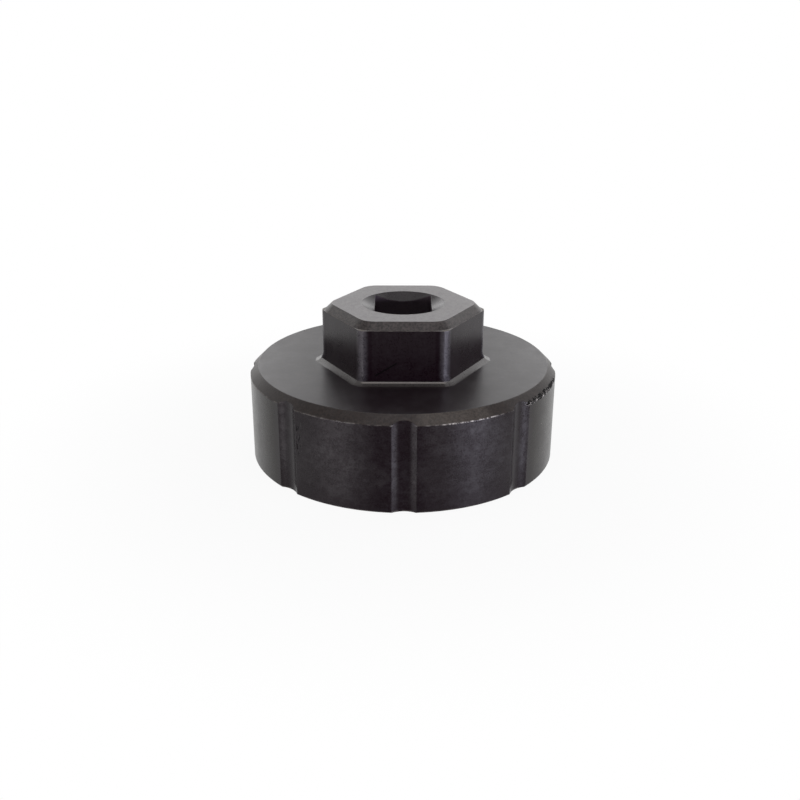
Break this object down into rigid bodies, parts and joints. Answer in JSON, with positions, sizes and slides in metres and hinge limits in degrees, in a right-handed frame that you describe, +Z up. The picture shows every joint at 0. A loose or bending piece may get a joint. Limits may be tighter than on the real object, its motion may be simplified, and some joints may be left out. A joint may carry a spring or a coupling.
{
  "type": "bottom bracket tool",
  "caption": "Squat round steel socket with grip grooves, a toothed cup mouth below, and a hexagonal head with a square drive hole on top.",
  "frame": {"origin": "centre of the mouth, on the plane of the rim that the tool stands on", "axes": "+Z up along the turned axis, from the mouth towards the hexagonal head; -Y out of the flat of the hexagon that faces the camera"},
  "size_m": [0.0518, 0.0518, 0.026],
  "materials": {
    "black_steel": "satin black oxide over fine turned and milled marks"
  },
  "bodies": {
    "root": {"socket_body": "black_steel"}
  },
  "joints": []
}
